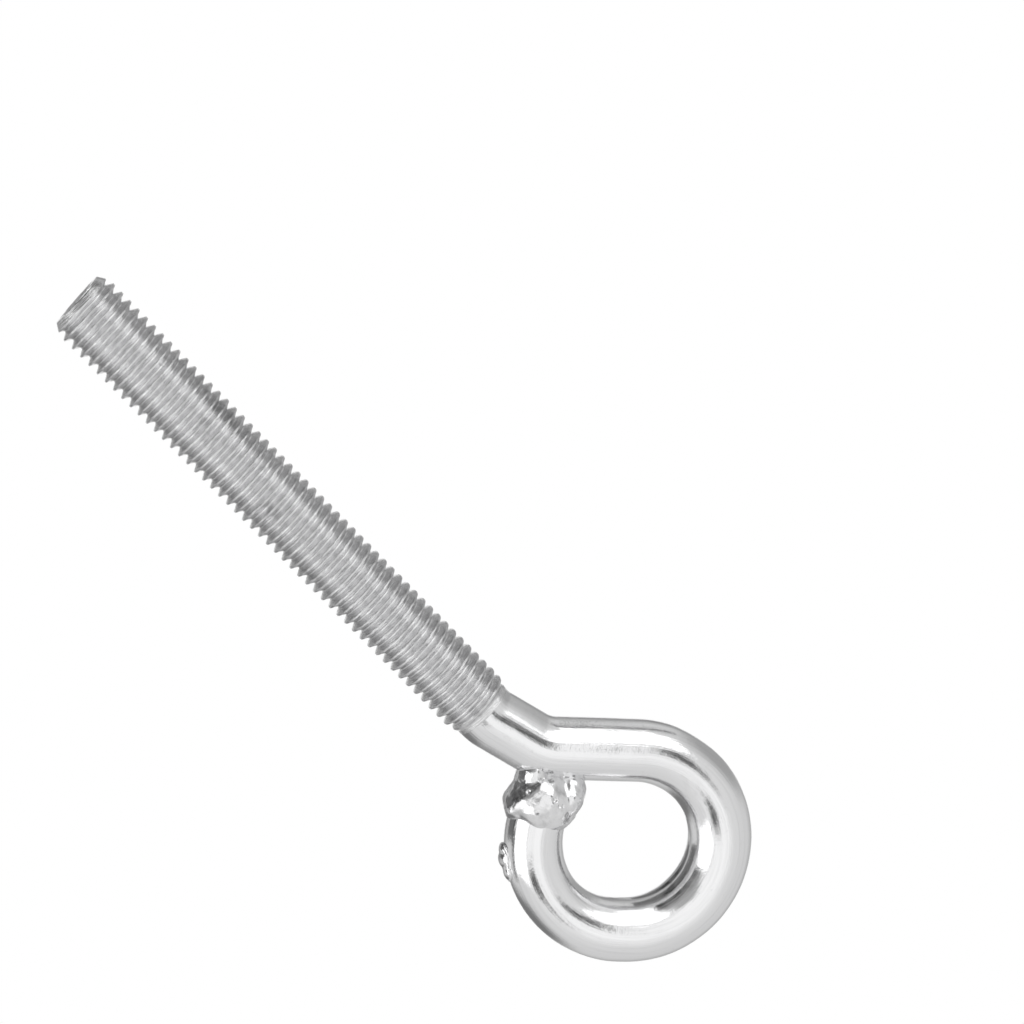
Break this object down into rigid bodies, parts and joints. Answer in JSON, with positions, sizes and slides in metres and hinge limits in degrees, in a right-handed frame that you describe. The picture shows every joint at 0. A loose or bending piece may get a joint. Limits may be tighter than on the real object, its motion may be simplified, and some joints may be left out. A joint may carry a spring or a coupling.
{
  "type": "eye bolt",
  "caption": "Eye bolt of one bent round steel bar: a fully threaded metric shank, a cranked neck and a round closed eye, welded shut at the neck.",
  "frame": {"origin": "on the shank's axis, where the full thread ends under the neck", "axes": "+Z along the shank's axis towards the eye; the eye lies in the XZ plane, and a hook or shackle passes through it along Y"},
  "size_m": [0.0347, 0.0104, 0.1224],
  "materials": {
    "plated_thread": "bright zinc plating over a rolled thread, satin",
    "plated_bar": "bright zinc plating, glossy with fine speckle",
    "plated_weld": "zinc plating over rough weld metal, pitted"
  },
  "bodies": {
    "root": {"threaded_shank": "plated_thread", "neck": "plated_bar", "eye_loop": "plated_bar", "closing_weld": "plated_weld", "outer_weld_run": "plated_weld"}
  },
  "joints": []
}
